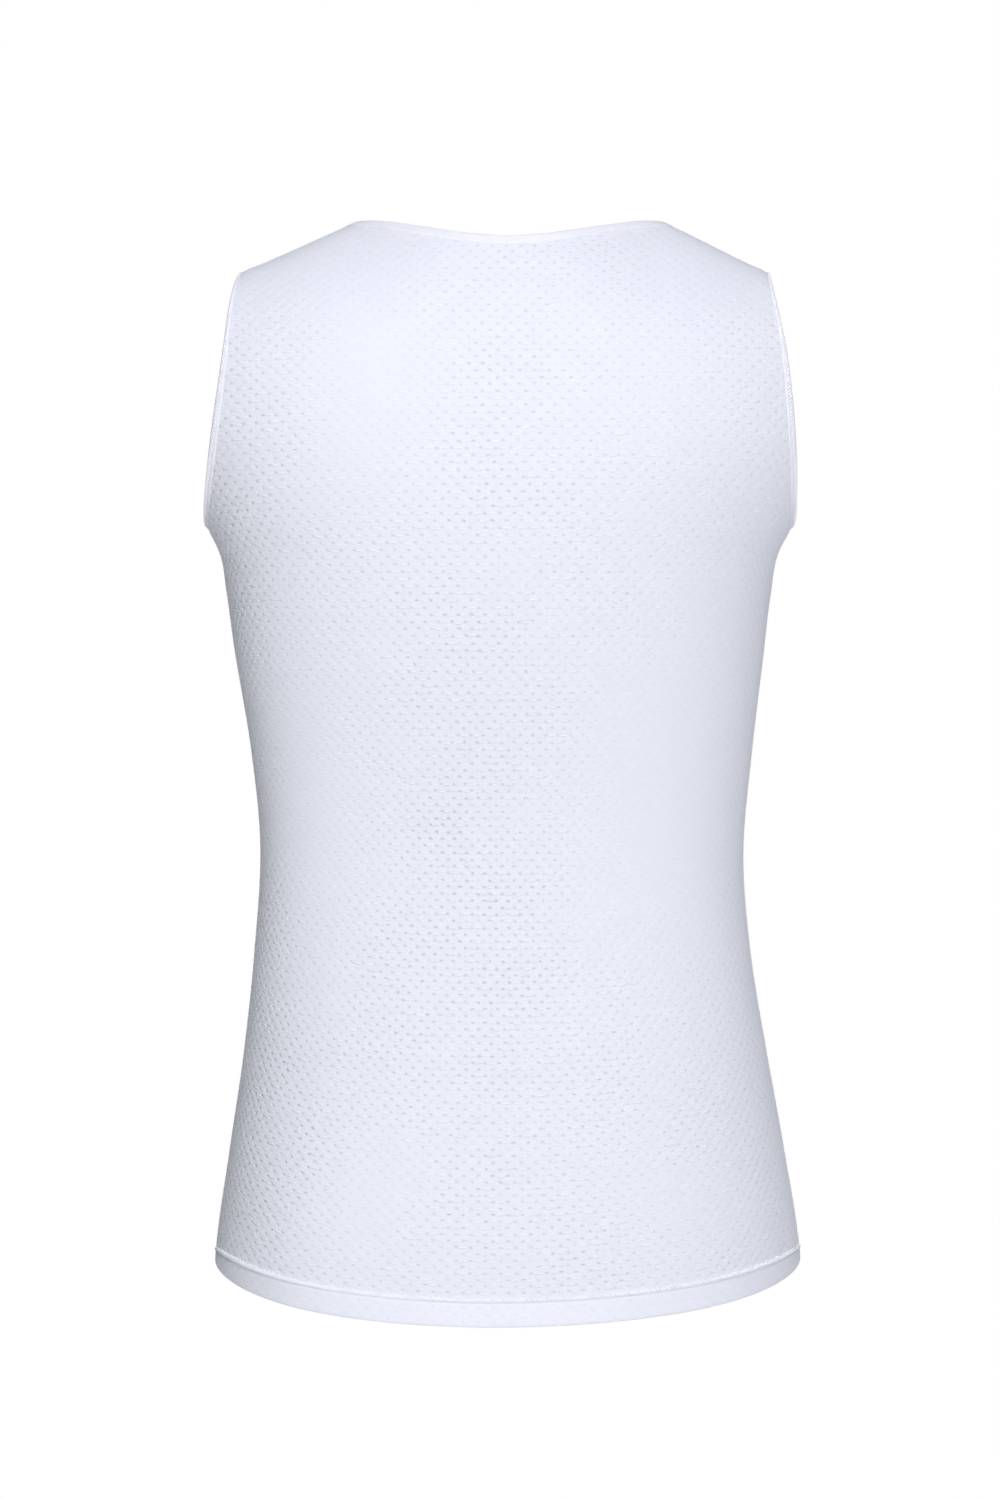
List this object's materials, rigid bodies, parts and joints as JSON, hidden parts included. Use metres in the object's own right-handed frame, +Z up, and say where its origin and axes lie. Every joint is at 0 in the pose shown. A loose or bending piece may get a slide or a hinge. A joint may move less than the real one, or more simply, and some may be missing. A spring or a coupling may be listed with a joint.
{
  "type": "sleeveless base layer",
  "caption": "Sleeveless mesh base layer filled out as worn, with no wearer: a hollow torso with bound neck and armholes and a turned-up hem.",
  "frame": {"origin": "midway between the two high points of the shoulders, level with the top of the neck binding where it crosses the shoulder seams", "axes": "+Z up the garment, -Y out of its front, +Y out of its back, +X to the wearer's left"},
  "size_m": [0.3666, 0.2328, 0.6695],
  "materials": {
    "mesh_knit": "matt white stretch mesh knit with small dimples",
    "elastic_binding": "smooth white folded elastic tape"
  },
  "bodies": {
    "root": {"back_panel": "mesh_knit", "front_panel": "mesh_knit", "neck_binding": "elastic_binding", "armhole_binding_left": "elastic_binding", "armhole_binding_right": "elastic_binding"}
  },
  "joints": []
}
